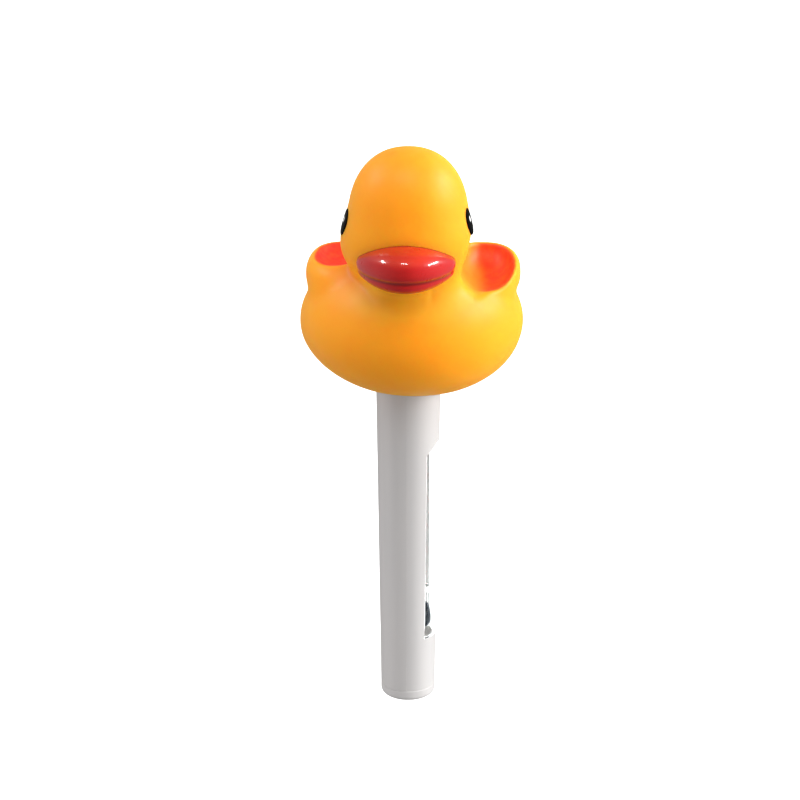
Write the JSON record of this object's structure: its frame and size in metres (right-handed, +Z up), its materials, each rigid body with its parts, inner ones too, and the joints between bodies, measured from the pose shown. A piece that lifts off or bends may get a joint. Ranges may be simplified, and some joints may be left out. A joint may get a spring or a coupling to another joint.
{
  "type": "floating pool thermometer",
  "caption": "Hollow duck float that swivels on a neck plug above a tapered windowed tube with a glass thermometer and a vented, ballasted end cap.",
  "frame": {"origin": "centre of the tether hole's mouth in the foot's flat resting face, on the tube's axis", "axes": "+Z up the tube towards the duck's head; -Y the way the duck faces; +X the way the thermometer window faces"},
  "size_m": [0.0898, 0.103, 0.2349],
  "materials": {
    "duck_vinyl": "soft satin vinyl, yellow-orange",
    "beak_paint": "high-gloss red",
    "eye_paint": "gloss black",
    "white_shell": "satin white moulding",
    "rubber_seal": "matte black rubber",
    "clear_lens": "clear polished acrylic",
    "thermo_glass": "clear glass",
    "card": "matte printed card",
    "liquid": "dark slate-blue liquid",
    "steel": "turned steel"
  },
  "bodies": {
    "housing": {"rear_shell": "white_shell", "front_shell": "white_shell", "window_lens": "clear_lens", "scale_carrier": "white_shell", "scale_card": "card", "thermometer_glass": "thermo_glass", "bulb_liquid": "liquid", "liquid_column": "liquid", "stem_clip_lower": "white_shell", "stem_clip_upper": "white_shell"},
    "neck": {"neck_plug": "white_shell", "sealing_washer": "rubber_seal"},
    "float": {"duck_shell": "duck_vinyl", "beak": "beak_paint", "eye_left": "eye_paint", "eye_right": "eye_paint"},
    "meniscus": {"liquid_meniscus": "liquid"},
    "foot": {"end_cap": "white_shell", "cap_ring": "rubber_seal", "ballast_weight": "steel"}
  },
  "joints": [
    {"name": "neck_pull", "type": "slide", "parent": "housing", "child": "neck", "axis": [0, 0, 1], "range_m": [0, 0.012]},
    {"name": "float_swivel", "type": "hinge", "parent": "neck", "child": "float", "pos_m": [0, 0, 0.139], "axis": [0, 0, 1], "continuous": true},
    {"name": "foot_pull", "type": "slide", "parent": "housing", "child": "foot", "axis": [0, 0, -1], "range_m": [0, 0.008]},
    {"name": "column_rise", "type": "slide", "parent": "housing", "child": "meniscus", "axis": [0, 0, 1], "range_m": [-0.0275, 0.0275], "deforming": ["liquid_column"]}
  ]
}
